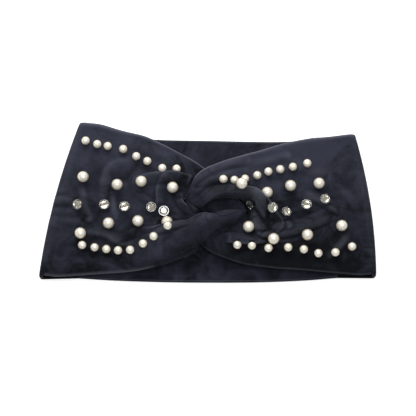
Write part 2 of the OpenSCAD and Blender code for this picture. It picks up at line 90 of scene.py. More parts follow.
# Cut of the stones: sides, girdle and foil depth in millimetres, the rest as shares of the radius
STONE_SIDES = 8
GIRDLE_HEIGHT = 0.15
CROWN_SHARE = 0.42
MIDDLE_RING = 0.78
MIDDLE_HEIGHT = 0.62
TABLE_RING = 0.55
FOIL_RIM = 0.97
FOIL_RING = 0.45
FOIL_GAP = 0.06
FOIL_DEPTH = 1.15

# Edges of the straps in plan, from the side fold to the knot, in millimetres
LEFT_TOP = [(-86.5, 55.3), (-75, 53.8), (-61, 49.6), (-47, 46.2), (-40, 43.6), (-30, 38.6),
            (-19, 32.6), (-9, 26.7), (0, 19.8), (10, 11), (20, 1), (27, -8)]
LEFT_LOW = [(-112.5, -54.7), (-103, -55.6), (-79.5, -54.3), (-55, -52.8), (-39, -49.9), (-23, -45.2),
            (-11, -39.1), (-3, -32.2), (4.5, -24.6), (9.5, -23.8), (15, -22), (23, -17), (27, -12)]
RIGHT_TOP = [(100.3, 46.6), (86, 44.8), (72, 43.6), (54, 40), (40, 35.7), (26, 31.5),
             (11.5, 26.6), (-1, 21.2), (-7.8, 15.8), (-11.7, 8.4), (-14, 2.8), (-14.8, -1.6),
             (-12.4, -5.6), (-7.2, -9.5)]
RIGHT_LOW = [(112.8, -54), (104, -54.4), (81.5, -52.6), (63.5, -51.2), (45, -50), (26, -46.9),
             (11, -42.1), (2, -38), (-3, -34), (-8, -28), (-11, -22), (-12, -17), (-11, -14)]
CROSSING = [(-22, -13), (-12, -12), (-7, -11), (-3.5, -9), (0, -6), (4, -3.6), (10, -2.2), (17, -1.8),
            (23, -2.2), (26.5, -3.6), (28, -6.5), (28, -12), (15, -15), (7, -16.5), (-8, -17.5), (-22, -17)]
BACK_TOP_EDGE = [(-64.5, 52.5), (-50, 47.5), (-35, 45.4), (0, 44.6), (50, 43.8), (78.3, 45.6)]
BACK_LOW_EDGE = [(-90.5, -55.5), (-60, -57.3), (-20, -58.4), (30, -58.4), (65, -57.2), (90.8, -55.2)]

# Folds: crest path as (x, y, height), reach to its left, reach to its right, sharpness, lean to its right
LEFT_FOLDS = [
    ([(-80, -47, 0), (-58, -42, 1.5), (-40, -36, 4.5), (-25, -31, 8.5), (-13, -26, 12),
      (-5, -22, 14), (-1.5, -20, 14)], 9.5, 12, 0.9, -0.9),
    ([(-50, -23.8, 0.5), (-40, -23.8, 2), (-33, -23.2, 4.5), (-27, -22.4, 6), (-20, -20, 3.5),
      (-14, -17.6, 0.5)], 3.2, 6, 0.9, -2.2),
    ([(7, -15, 4.5), (12, -14.5, 6.5), (19, -12.5, 6.5), (26, -10, 5)], 6, 9, 1, 0.5),
    ([(9, -10.8, 1.5), (13, -10, 1.8), (19, -8.5, 1.2)], 2, 4, 1, 0),
    ([(-17.5, 0, 1), (-16.7, -2.3, 2.5), (-14.8, -5.6, 3), (-11, -8.8, 3), (-7, -11.4, 2)], 2.5, 6, 1, 0),
    ([(-72.7, 2.5, 0.8), (-72.4, 12.6, 1.8), (-69.6, 20.6, 2.2), (-63.3, 24.9, 2.2),
      (-54.2, 25.3, 1)], 6, 8, 2, 0),
    ([(-48.6, 14, 1), (-40, 15.6, 2.5), (-31, 16.2, 4), (-22, 15.8, 6), (-14, 14.4, 3.5)], 3.2, 7, 1.1, -1.0),
    ([(-31.8, 12.6, 1), (-34.6, 5.4, 2.2), (-34.6, -1.9, 2.4), (-33.5, -6, 1.2),
      (-32, -8.5, 0.4)], 6, 3, 1.6, 0.6),
    ([(-33, -18.8, -0.8), (-28, -18.6, -1.2), (-23, -17.4, -0.8)], 3.5, 3, 1.2, 0),
    ([(-92, -22.5, 0.5), (-82.2, -24.8, 1.8), (-71, -27, 2.5), (-63.3, -31.3, 2),
      (-55.6, -33.5, 1)], 7, 5, 2, 0),
    ([(-89, 10, 0.5), (-87.5, 2, 1.5), (-86, -6, 1.5), (-82.2, -13.9, 1)], 5, 6, 2, 0),
    ([(-66.5, 2, 0.5), (-66.1, -2, 1.2), (-65.5, -8, 1.2), (-64, -13, 0.5)], 4, 5, 2, 0),
    ([(-110, -17.7, 0.3), (-96.2, -16.9, 1.2), (-82.9, -17.7, 0.8)], 5, 5, 2, 0),
    ([(-106, -1, 0.4), (-98, -2, 1.2), (-90, -2.5, 0.5)], 5, 5, 2, 0),
    ([(-60, 40, 0.3), (-45, 36, 1.2), (-30, 29, 1.5), (-22, 26, 0.5)], 6, 6, 1.6, 0),
    ([(-50, 4, 0.5), (-44, 0, 1.5), (-38, -6, 1)], 5, 5, 2, 0),
]
RIGHT_FOLDS = [
    ([(-10, 0, 1), (-4.6, 5, 2.2), (0.4, 10.3, 3), (6.7, 13.6, 2.8), (15, 16.5, 1.8), (26, 19, 0.6)], 4, 5, 1.6, 0),
    ([(-12, 1, 0.8), (-11, 5, 1.4), (-9, 9.5, 1.4), (-5, 13.5, 1.2), (2, 18, 0.5)], 3, 3, 1.6, 0),
    ([(-6, -9, 2.5), (-3.1, -5.4, 5.5), (0.4, -2, 7.5), (4.6, 0.8, 9), (10.9, 2.7, 9.5), (17.2, 3.1, 9.5),
      (23.5, 2.6, 9), (29, 1, 7.8), (33.2, -2.6, 5.8), (34.8, -7.6, 4.8), (34.6, -12.7, 4.3), (34.4, -18, 3.8),
      (35.8, -22.3, 2.6), (38, -26, 0.8)], 7, 5.5, 1.0, 1.1),
    ([(33.5, -15, 0.6), (36, -21, 2.8), (40, -24, 3.8), (46, -24.8, 3.8), (54.3, -24.2, 4.2), (64.8, -21.6, 3.6),
      (75.3, -17.5, 2.6), (86, -12.6, 1)], 7, 5, 0.9, 1.0),
    ([(20, 6.5, 0.5), (28, 5.5, 3.5), (34.5, 3, 6.5), (39.5, -2.5, 7.5), (43, -6.5, 6.5), (46.5, -11.5, 4.5),
      (50, -17, 2)], 3.2, 9, 0.8, -0.9),
    ([(5, -29, 0.8), (14, -30, 2.5), (23.5, -30.6, 5), (31, -30.8, 5), (37, -30.8, 3.5), (43, -30.6, 1.5),
      (50, -30.2, 1), (60, -29.8, 0.5)], 6, 3, 1, 3.2),
    ([(51.4, -12, 0.8), (53.5, -15.7, 1.5), (56.7, -20, 0.8)], 4, 4, 2, 0),
    ([(66, 1.5, 0.5), (72, -0.5, 2), (79, -2.6, 2.2), (91, -9.1, 1)], 7, 4, 1.5, 0),
    ([(98, -24, 0.5), (94, -32, 1.5), (88.5, -38, 1.5), (82.2, -43.7, 0.5)], 5, 6, 2, 0),
    ([(50, 33, 0.4), (60, 27, 1.2), (72, 20, 1.4), (84, 16, 0.6)], 6, 6, 2, 0),
    ([(30, 25, 0.6), (42, 26.5, 1.5), (56, 30, 1)], 5, 5, 2, 0),
    ([(88, 12, 0.4), (96, 4, 1.2), (103, -6, 1), (108, -18, 0.4)], 6, 6, 2, 0),
    ([(5, 20, 1.5), (16, 24, 2.2), (28, 27, 1)], 5, 4, 1.5, 0),
]


# Patches painted lighter or darker: partly the pile's own blotches, partly painted light and shade (on the right
# strap lighter at the top and darker low down, as the light falls). Middle, half length and half width in
# millimetres, turn in degrees, and how much lighter or darker
LEFT_PILE_AND_PAINTED_LIGHT = [(-30, -37, 30, 9, 25, 0.20), (2, -20, 14, 10, 40, 0.10), (-55, 6, 32, 18, 0, -0.08),
                (-9, 19, 15, 11, -30, -0.24), (-95, 25, 16, 24, 0, 0.04), (-60, -47, 40, 6, 5, 0.05)]
RIGHT_PILE_AND_PAINTED_LIGHT = [(60, 33, 36, 11, 12, 0.26), (18, 24, 20, 8, 15, 0.14), (62, -14, 40, 15, 5, -0.13),
                 (60, -42, 44, 11, 0, -0.20), (9, 8, 15, 6, 20, -0.16), (36, -12, 9, 16, 0, -0.10),
                 (96, 10, 14, 26, 0, 0.05)]


# Curves and fold heights

def ease(x):
    c = np.clip(x, 0, 1)
    return c * c * (3 - 2 * c)


def along(points, shares):
    """Points at the given shares of a smooth curve through all the points."""
    p = np.asarray(points, float)
    n = len(p) - 1
    p = np.vstack([2 * p[0] - p[1], p, 2 * p[-1] - p[-2]])
    f = np.clip(np.asarray(shares, float), 0, 1) * n
    i = np.minimum(f.astype(int), n - 1)
    t = (f - i)[..., None]
    a, b, c, d = p[i], p[i + 1], p[i + 2], p[i + 3]
    return 0.5 * (2 * b + (c - a) * t + (2 * a - 5 * b + 4 * c - d) * t**2 + (3 * b - a - 3 * c + d) * t**3)


def smooth_curve(points, steps):
    n = (len(points) - 1) * steps
    return along(points, np.arange(n + 1) / n)


def reach(x, y, a, b):
    """Distance to the line a-b, share along it, and how squarely the point lies to its left."""
    vx, vy = b[0] - a[0], b[1] - a[1]
    long = max(math.hypot(vx, vy), 1e-6)
    wx, wy = x - a[0], y - a[1]
    f = np.clip((wx * vx + wy * vy) / long**2, 0, 1)
    d = np.hypot(wx - f * vx, wy - f * vy)
    left = (vx * wy - vy * wx) / (long * np.maximum(np.hypot(wx, wy), 1e-6))
    return d, f, left


def fold_shape(x, y, fold):
    """Height and sideways lean that one fold adds at each point."""
    path, left_reach, right_reach, sharpness, lean = fold
    line = smooth_curve(path, 6)
    best = np.full(x.shape, 1e9)
    crest = np.zeros(x.shape)
    left = np.zeros(x.shape)
    ahead_x = np.zeros(x.shape)
    ahead_y = np.zeros(x.shape)
    for a, b in zip(line[:-1], line[1:]):
        d, f, side = reach(x, y, a, b)
        near = d < best
        long = max(math.hypot(b[0] - a[0], b[1] - a[1]), 1e-6)
        best = np.where(near, d, best)
        crest = np.where(near, a[2] + (b[2] - a[2]) * f, crest)
        left = np.where(near, side, left)
        ahead_x = np.where(near, (b[0] - a[0]) / long, ahead_x)
        ahead_y = np.where(near, (b[1] - a[1]) / long, ahead_y)
    side = np.clip(left * 1.6, -1, 1)
    wide = (left_reach + right_reach) / 2 + side * (left_reach - right_reach) / 2
    bump = (1 - np.minimum(best / wide, 1) ** 2) ** sharpness
    push = lean * bump * np.clip(crest / 6, -1, 1.5)
    return crest * bump, push * ahead_y, -push * ahead_x


def folds_at(x, y, folds):
    total = [np.zeros(x.shape) for _ in range(3)]
    for fold in folds:
        for whole, share in zip(total, fold_shape(x, y, fold)):
            whole += share
    return total


def edge_distance(x, y, line):
    best = np.full(x.shape, 1e9)
    for a, b in zip(line[:-1], line[1:]):
        best = np.minimum(best, reach(x, y, a, b)[0])
    return best


def inside(x, y, outline):
    odd = np.zeros(x.shape, bool)
    for (ax, ay), (bx, by) in zip(outline, outline[1:] + outline[:1]):
        if ay != by:
            odd ^= ((y < ay) != (y < by)) & (x < (bx - ax) * (y - ay) / (by - ay) + ax)
    return odd


def edge_round(d):
    c = np.minimum(d / EDGE_REACH, 1)
    return np.sqrt(1 - (1 - c) ** 2)


def strap_height(x, y, left):
    """Height of the outside of a strap above the table, and how far its folds lean sideways."""
    top, low = (LEFT_TOP, LEFT_LOW) if left else (RIGHT_TOP, RIGHT_LOW)
    rise, lean_x, lean_y = folds_at(x, y, LEFT_FOLDS if left else RIGHT_FOLDS)
    if left:
        over = ease((x + 22) / 12) * ease((-8 - y) / 5)
        under = (ease((x * 0.69 + y * 0.73 + 14.4) / 1.6) * ease((x + 18 - 0.5 * np.maximum(y - 2, 0)) / 2.7)
                 * ease((y + 11 - 0.5 * np.minimum(x, 0)) / 4))
        slope = 1.5 * ease((x + 95) / 60) - 1.5 * ease((x + 24) / 12)
        lift = 0
    else:
        over = ease((30 - x) / 20) * ease((y + 12) / 6)
        under = ease((16 - x) / 5) * ease((-12 - y) / 4)
        slope = 1.5 * ease((100 - x) / 60) * ease((x - 25) / 20)
        lift = over * CROSS_LIFT
    edge = EDGE_LEVEL + over * CROSS_LIFT
    free = np.maximum(FACE_LEVEL + slope + rise + lift, edge)
    full = free + (np.minimum(free, FACE_LEVEL) - free) * under
    d = np.minimum(edge_distance(x, y, smooth_curve(top, 4)), edge_distance(x, y, smooth_curve(low, 4)))
    keep = edge_round(d)
    return edge + (full - edge) * keep, lean_x * keep, lean_y * keep


# Cloth meshes

def rear_drop(side, t):
    return -(0.8 + 2 * t) if side < 0 else -(1.2 - 0.2 * t)


def wrap_rows(first, low, bulge, steps, rear_steps, inset=0.0):
    """Rows from the rear seam round the side fold up to the first row of the front."""
    side = -1 if first[0][0] < 0 else 1
    t = np.linspace(0, 1, len(first))
    rows = []
    rear = np.column_stack([
        first[:, 0] - side * (RETURN_LENGTH - SEAM_GAP),
        first[:, 1] + np.array([rear_drop(side, s) for s in t]),
        np.full(len(first), low)])
    rear[:, 1] += inset * (1 - 2 * t)
    root = np.column_stack([first[:, 0], first[:, 1], np.full(len(first), low)])
    for k in range(rear_steps):
        rows.append(rear + (root - rear) * k / rear_steps)
    half = (first[:, 2] - low) / 2
    for k in range(steps):
        angle = math.pi * (1 - k / steps)
        out, up = math.sin(angle) ** SIDE_SQUARE, math.copysign(abs(math.cos(angle)) ** SIDE_SQUARE, math.cos(angle))
        rows.append(np.column_stack([
            first[:, 0] + side * (bulge + SIDE_BOW * 4 * t * (1 - t)) * out,
            first[:, 1],
            low + half + half * up]))
    return rows


def grid_normals(grid):
    ahead = np.gradient(grid, axis=0)
    across = np.gradient(grid, axis=1)
    n = np.cross(ahead, across)
    return n / np.maximum(np.linalg.norm(n, axis=2, keepdims=True), 1e-9)


def with_hems(grid, normals, radius, steps=7, turn=170):
    """Adds columns that roll the two long edges of the cloth round and under."""
    out = [grid]
    for edge, inner in ((0, 1), (-1, -2)):
        point = grid[:, edge]
        ahead = np.gradient(point, axis=0)
        ahead /= np.maximum(np.linalg.norm(ahead, axis=1, keepdims=True), 1e-9)
        square = normals[:, edge]
        outward = np.cross(ahead, square)
        outward *= np.sign(np.sum(outward * (point - grid[:, inner]), axis=1, keepdims=True))
        outward /= np.maximum(np.linalg.norm(outward, axis=1, keepdims=True), 1e-9)
        columns = []
        for k in range(1, steps + 1):
            a = math.radians(turn) * k / steps
            columns.append(point + outward * radius * math.sin(a) - square * radius * (1 - math.cos(a)))
        if edge == 0:
            out = [np.stack(columns[::-1], axis=1)] + out
        else:
            out = out + [np.stack(columns, axis=1)]
    return np.concatenate(out, axis=1)


def cloth_object(name, grid, thickness, upside, material, masks=()):
    """A closed piece of cloth from a grid of points in millimetres; the grid is its outside."""
    n, m = grid.shape[:2]
    index = np.arange(n * m).reshape(n, m)
    quads = np.stack([index[:-1, :-1], index[1:, :-1], index[1:, 1:], index[:-1, 1:]], axis=-1).reshape(-1, 4)
    if not upside:
        quads = quads[:, ::-1]
    mesh = bpy.data.meshes.new(name)
    mesh.from_pydata((grid.reshape(-1, 3) * MM).tolist(), [], quads.tolist())
    for key, values in masks:
        layer = mesh.attributes.new(key, "FLOAT", "POINT")
        layer.data.foreach_set("value", np.ascontiguousarray(values, dtype=np.float32).ravel())
    mesh.shade_smooth()
    obj = bpy.data.objects.new(name, mesh)
    bpy.context.scene.collection.objects.link(obj)
    mesh.materials.append(material)
    solid = obj.modifiers.new("Cloth thickness", "SOLIDIFY")
    solid.thickness = thickness * MM
    solid.offset = -1
    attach(obj, "root")
    return obj


def centres_in(node):
    """Centre of each separate solid in a CAD node, in millimetres."""
    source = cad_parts[node]
    bm = bmesh.new()
    bm.from_mesh(source.data)
    bmesh.ops.remove_doubles(bm, verts=bm.verts, dist=1e-6)
    left = set(bm.verts)
    found = []
    while left:
        seed = left.pop()
        pile, piece = [seed], [seed]
        while pile:
            for e in pile.pop().link_edges:
                for v in e.verts:
                    if v in left:
                        left.discard(v)
                        pile.append(v)
                        piece.append(v)
        points = np.array([source.matrix_world @ v.co for v in piece]) / MM
        found.append((points.min(axis=0) + points.max(axis=0)) / 2)
    bm.free()
    return sorted(found, key=lambda c: tuple(c))


def studs(left):
    """Centre and radius of everything that sits on a strap, in millimetres."""
    side = "left" if left else "right"
    found = []
    for node, obj in sorted(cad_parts.items()):
        if not node.startswith(side):
            continue
        if "small_pearls" in node:
            found += [(c, SMALL_RADIUS) for c in centres_in(node)]
        elif "large_pearl" in node:
            found += [(c, LARGE_RADIUS) for c in centres_in(node)]
        elif "_cup_" in node:
            low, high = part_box(node)
            found.append(((np.array(low) + np.array(high)) / 2 / MM, CUP_RADIUS))
    return found


def span(node):
    low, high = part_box(node)
    return (high[0] - low[0]) / MM


LARGE_RADIUS = span("left_large_pearl_1") / 2
SMALL_RADIUS = LARGE_RADIUS * 0.75


def seat_cloth(grid, left, first_row):
    """Draws the cloth to each pearl and cup, and keeps it outside them."""
    front = grid[first_row:]
    for centre, radius in studs(left):
        away = np.linalg.norm(front - centre, axis=2)
        i, j = np.unravel_index(np.argmin(np.where(front[..., 2] < centre[2] + 1, away, 1e9)), away.shape)
        gap = away[i, j] - radius
        if gap > 0:
            pull = np.exp(-((np.linalg.norm(front - front[i, j], axis=2) / (radius + 2)) ** 2))
            toward = (centre - front[i, j]) / away[i, j] * gap
            front += toward * pull[..., None]
        away = np.linalg.norm(front - centre, axis=2)
        inside_it = away < radius + STUD_ROOM
        push = (radius + STUD_ROOM) / np.maximum(away, 0.3)
        front[inside_it] = (centre + (front - centre) * push[..., None])[inside_it]
    grid[first_row:] = front
    return grid


def wrinkles(grid, left, depth):
    """Fine slack in the cloth that runs out from the knot, as height to add in millimetres."""
    away = grid[..., :2] - np.array(KNOT_MIDDLE)
    far = np.hypot(away[..., 0], away[..., 1])
    angle = np.arctan2(away[..., 1], away[..., 0] * (-1 if left else 1))
    out = np.zeros(far.shape)
    seed = 3.1 if left else 9.7
    for i in range(far.shape[0]):
        for j in range(far.shape[1]):
            p = Vector((angle[i, j] * 7, far[i, j] / 38, seed))
            q = Vector((grid[i, j, 0] / 17, grid[i, j, 1] / 17, seed + 4))
            r = Vector((grid[i, j, 0] / 6, grid[i, j, 1] / 6, seed + 8))
            out[i, j] = 0.55 * noise.noise(p) + 0.5 * noise.noise(q) + 0.14 * noise.noise(r)
    return out * depth * ease((far - 14) / 26)


def openness(grid, reach_rows=2):
    """How convex the cloth is at each point: above 0 on a crest, below 0 in a hollow. The straps use it to paint
    highlight on crests and shade in hollows.
    """
    total = np.zeros(grid.shape)
    padded = np.pad(grid, ((reach_rows, reach_rows), (reach_rows, reach_rows), (0, 0)), mode="edge")
    shifts = [(0, reach_rows), (2 * reach_rows, reach_rows), (reach_rows, 0), (reach_rows, 2 * reach_rows)]
    for i, j in shifts:
        total += padded[i:i + grid.shape[0], j:j + grid.shape[1]]
    return np.sum((grid - total / 4) * grid_normals(grid), axis=2)


def strap_grid(left, rows, columns, wrinkle_depth):
    top, low = (LEFT_TOP, LEFT_LOW) if left else (RIGHT_TOP, RIGHT_LOW)
    s = np.linspace(0, 1, rows + 1)
    up, down = along(top, s), along(low, s)
    t = np.linspace(0, 1, columns + 1)
    plan = down[:, None, :] + (up - down)[:, None, :] * t[None, :, None]
    z, lean_x, lean_y = strap_height(plan[..., 0], plan[..., 1], left)
    grid = np.stack([plan[..., 0], plan[..., 1], z], axis=-1)
    near_edge = ease(np.minimum(t, 1 - t) / 0.06)[None, :] * ease(s / 0.05)[:, None]
    grid[..., 2] += np.maximum(wrinkles(grid, left, wrinkle_depth), -1.0) * near_edge
    grid[..., 0] += lean_x
    grid[..., 1] += lean_y
    return grid


def pile_and_painted_light(grid, left):
    """How much lighter (above 0) or darker (below 0) the patches paint each point: partly the pile's own blotches,
    partly painted light and shade.
    """
    x, y = grid[..., 0], grid[..., 1]
    total = np.zeros(x.shape)
    for (at_x, at_y, half_long, half_wide, turn, amount) in (LEFT_PILE_AND_PAINTED_LIGHT if left else RIGHT_PILE_AND_PAINTED_LIGHT):
        c, d = math.cos(math.radians(turn)), math.sin(math.radians(turn))
        u = ((x - at_x) * c + (y - at_y) * d) / half_long
        v = ((y - at_y) * c - (x - at_x) * d) / half_wide
        total += amount * np.exp(-(u * u + v * v))
    return total


# Materials

def linear(code):
    """Linear colour of an sRGB hex value."""
    parts = [int(code[k:k + 2], 16) / 255 for k in (1, 3, 5)]
    return tuple(c / 12.92 if c <= 0.04045 else ((c + 0.055) / 1.055) ** 2.4 for c in parts) + (1.0,)


def add_node(tree, kind, settings=None, **links):
    """Adds a node, sets its properties and plain inputs, and links the inputs that are given sockets."""
    node = tree.nodes.new(kind)
    for key, value in (settings or {}).items():
        if isinstance(key, str) and key not in node.inputs:
            setattr(node, key, value)
        else:
            node.inputs[key].default_value = value
    for key, socket in links.items():
        tree.links.new(socket, node.inputs[key.replace("_", " ")])
    return node


def new_material(name):
    material = bpy.data.materials.new(name)
    material.use_nodes = True
    material.node_tree.nodes.clear()
    return material, material.node_tree


def velvet_material(name, dark, light, painted_highlight, sheen, patch):
    """Cut-pile polyester velvet, crushed in wear: near black head on, greyer where the pile leans or the cloth
    turns away. Painted into its colour: lighter towards the top as a painted falloff of light, patches that are
    partly painted light and shade, painted shade in creases and along the lower hems, and painted highlight lines
    along folded edges and hems."""
    material, tree = new_material(name)
    place = add_node(tree, "ShaderNodeTexCoord")
    crushed = add_node(tree, "ShaderNodeTexNoise", {"Scale": 1 / (patch * MM), "Detail": 5.0, "Roughness": 0.62,
                                                   "Distortion": 1.2}, Vector=place.outputs["Object"])
    brushed_map = add_node(tree, "ShaderNodeMapping", {"Scale": (0.35, 1.0, 1.0)}, Vector=place.outputs["Object"])
    brushed = add_node(tree, "ShaderNodeTexNoise", {"Scale": 1 / (5 * MM), "Detail": 4.0, "Roughness": 0.6},
                       Vector=brushed_map.outputs["Vector"])
    pile = add_node(tree, "ShaderNodeTexNoise", {"Scale": 1 / (0.6 * MM), "Detail": 2.0},
                    Vector=place.outputs["Object"])
    both = add_node(tree, "ShaderNodeMath", {"operation": "MULTIPLY_ADD", 1: 0.3})
    tree.links.new(brushed.outputs["Fac"], both.inputs[0])
    tree.links.new(crushed.outputs["Fac"], both.inputs[2])
    parts = add_node(tree, "ShaderNodeSeparateXYZ", {}, Vector=place.outputs["Object"])
    # Painted falloff of light: the colour is made lighter towards the top (+y) and darker towards the bottom
    upward = add_node(tree, "ShaderNodeMapRange", {"From Min": -60 * MM, "From Max": 55 * MM, "To Min": -0.16,
                                                  "To Max": 0.20}, Value=parts.outputs["Y"])
    nap_and_painted_falloff = add_node(tree, "ShaderNodeMath", {"operation": "ADD"})
    tree.links.new(both.outputs[0], nap_and_painted_falloff.inputs[0])
    tree.links.new(upward.outputs["Result"], nap_and_painted_falloff.inputs[1])
    # This attribute holds the patches, partly the pile's own blotches and partly painted light and shade
    pile_and_painted_light_patches = add_node(tree, "ShaderNodeAttribute", {"attribute_name": "brushed"})
    nap_and_painted_light = add_node(tree, "ShaderNodeMath", {"operation": "ADD"})
    tree.links.new(nap_and_painted_falloff.outputs[0], nap_and_painted_light.inputs[0])
    tree.links.new(pile_and_painted_light_patches.outputs["Fac"], nap_and_painted_light.inputs[1])
    ramp = add_node(tree, "ShaderNodeValToRGB", {}, Fac=nap_and_painted_light.outputs[0])
    ramp.color_ramp.elements[0].position = 0.44
    ramp.color_ramp.elements[0].color = dark
    ramp.color_ramp.elements[1].position = 0.86
    ramp.color_ramp.elements[1].color = light
    # Painted shade: this attribute darkens the colour towards near black in the hollows of folds and along the lower
    # hems
    crease = add_node(tree, "ShaderNodeAttribute", {"attribute_name": "crease"})
    closed = add_node(tree, "ShaderNodeMix", {"data_type": "RGBA", 7: linear("#07080A")})
    tree.links.new(crease.outputs["Fac"], closed.inputs["Factor"])
    tree.links.new(ramp.outputs["Color"], closed.inputs[6])
    # Painted highlight: this attribute lightens the colour along folded edges, crests and hems, where light grazes
    # the pile
    edge = add_node(tree, "ShaderNodeAttribute", {"attribute_name": "edge"})
    mix = add_node(tree, "ShaderNodeMix", {"data_type": "RGBA", 7: painted_highlight})
    tree.links.new(edge.outputs["Fac"], mix.inputs["Factor"])
    tree.links.new(closed.outputs[2], mix.inputs[6])
    bump = add_node(tree, "ShaderNodeBump", {"Strength": 0.35, "Distance": 0.25 * MM}, Height=pile.outputs["Fac"])
    cloth = add_node(tree, "ShaderNodeBsdfPrincipled", {
        "Roughness": 0.85, "Specular IOR Level": 0.12, "Sheen Weight": sheen, "Sheen Roughness": 0.3,
        "Sheen Tint": linear("#CCCDD4")}, Base_Color=mix.outputs[2], Normal=bump.outputs["Normal"])
    add_node(tree, "ShaderNodeOutputMaterial", {}, Surface=cloth.outputs["BSDF"])
    return material


def pearl_material(pearl, rim):
    """Glass-paste pearls dipped in pearl lacquer: cream, with a soft broad highlight, and a warmer, darker rim
    painted into the colour as painted shade and reflection of the dark velvet.
    """
    material, tree = new_material("Lacquered cream pearl")
    facing = add_node(tree, "ShaderNodeLayerWeight", {"Blend": 0.35})
    # Painted shade and reflection: the colour turns to the darker, warmer rim colour towards the outline
    ramp = add_node(tree, "ShaderNodeValToRGB", {}, Fac=facing.outputs["Facing"])
    ramp.color_ramp.elements[0].position = 0.1
    ramp.color_ramp.elements[0].color = pearl
    ramp.color_ramp.elements[1].position = 0.85
    ramp.color_ramp.elements[1].color = rim
    lacquer = add_node(tree, "ShaderNodeBsdfPrincipled", {
        "Roughness": 0.32, "Metallic": 0.3, "Specular IOR Level": 0.5, "Coat Weight": 0.45, "Coat Roughness": 0.16,
        "Subsurface Weight": 0.12, "Subsurface Radius": (1.2 * MM, 0.9 * MM, 0.6 * MM)},
        Base_Color=ramp.outputs["Color"])
    add_node(tree, "ShaderNodeOutputMaterial", {}, Surface=lacquer.outputs["BSDF"])
    return material


def crystal_material(stone):
    """Clear lead-free crystal, cut and polished: each facet throws back its own piece of light or dark."""
    material, tree = new_material("Cut clear crystal")
    crystal = add_node(tree, "ShaderNodeBsdfPrincipled", {
        "Base Color": stone, "Roughness": 0.02, "IOR": 1.56, "Transmission Weight": 1.0})
    add_node(tree, "ShaderNodeOutputMaterial", {}, Surface=crystal.outputs["BSDF"])
    return material


def foil_material():
    """Vacuum-coated silver foil on the back of the stone: a mirror broken up by the cut."""
    material, tree = new_material("Silver foil backing")
    foil = add_node(tree, "ShaderNodeBsdfPrincipled", {
        "Base Color": linear("#E8E6DF"), "Roughness": 0.12, "Metallic": 1.0})
    add_node(tree, "ShaderNodeOutputMaterial", {}, Surface=foil.outputs["BSDF"])
    return material


def silver_material(name, silver, rough):
    """Nickel-plated stamped brass: bright and slightly soft, from tumbling."""
    material, tree = new_material(name)
    place = add_node(tree, "ShaderNodeTexCoord")
    tumbled = add_node(tree, "ShaderNodeTexNoise", {"Scale": 1 / (0.8 * MM), "Detail": 2.0},
                       Vector=place.outputs["Object"])
    spread = add_node(tree, "ShaderNodeMapRange", {"To Min": rough, "To Max": rough + 0.12},
                      Value=tumbled.outputs["Fac"])
    metal = add_node(tree, "ShaderNodeBsdfPrincipled", {"Base Color": silver, "Metallic": 1.0},
                     Roughness=spread.outputs["Result"])
    add_node(tree, "ShaderNodeOutputMaterial", {}, Surface=metal.outputs["BSDF"])
    return material


def thread_material(thread_colour):
    """Spun polyester sewing thread, dyed to match: dull and dark."""
    material, tree = new_material("Spun polyester thread")
    thread = add_node(tree, "ShaderNodeBsdfPrincipled", {
        "Base Color": thread_colour, "Roughness": 0.7, "Sheen Weight": 0.3})
    add_node(tree, "ShaderNodeOutputMaterial", {}, Surface=thread.outputs["BSDF"])
    return material


def floor_material(table):
    """Opal acrylic light table: even matt white, lit from below so that it takes no hard shadow."""
    material, tree = new_material("Opal acrylic light table")
    opal = add_node(tree, "ShaderNodeBsdfPrincipled", {
        "Base Color": table, "Roughness": 0.9, "Specular IOR Level": 0.1,
        "Emission Color": linear("#FFFFFF"), "Emission Strength": 0.6})
    add_node(tree, "ShaderNodeOutputMaterial", {}, Surface=opal.outputs["BSDF"])
    return material


_made = {}


def material_called(key):
    chosen = bpy.context.scene.headband_colours

    def colour(name):
        return tuple(getattr(chosen, name)) + (1.0,)

    makers = {
        "velvet": lambda: velvet_material("Crushed navy velvet", colour("velvet_base"), colour("velvet_turned"),
                                          colour("velvet_edge"), 0.13, 22),
        "lining": lambda: velvet_material("Brushed navy lining", colour("lining_base"), colour("lining_turned"),
                                          colour("lining_turned"), 0.1, 30),
        "pearl": lambda: pearl_material(colour("pearl"), colour("pearl_rim")),
        "crystal": lambda: crystal_material(colour("stone")),
        "foil": foil_material,
        "cup": lambda: silver_material("Nickel-plated stone cup", colour("silver"), 0.2),
        "pin": lambda: silver_material("Nickel-plated pin", colour("silver"), 0.25),
        "thread": lambda: thread_material(colour("thread")),
        "table": lambda: floor_material(colour("table")),
    }
    if key not in _made:
        _made[key] = makers[key]()
    return _made[key]


# Settings

class HeadbandCloth(bpy.types.PropertyGroup):
    rows: IntProperty(name="Rows", description="Rows of cloth along each strap", default=230, min=60, max=500)
    columns: IntProperty(name="Columns", description="Columns of cloth across each strap", default=130, min=40,
                         max=300)
    wrinkle_depth: FloatProperty(name="Wrinkle depth", description="Depth of the fine slack, in millimetres",
                                 default=1.0, min=0, max=2)
    hem_radius: FloatProperty(name="Hem radius", description="Radius of the rolled edges", default=1.35 * MM,
                              min=0.5 * MM, max=3 * MM, unit="LENGTH")


def colour_setting(name, description, code):
    return FloatVectorProperty(name=name, description=description, subtype="COLOR", size=3, min=0, max=1,
                               default=linear(code)[:3])


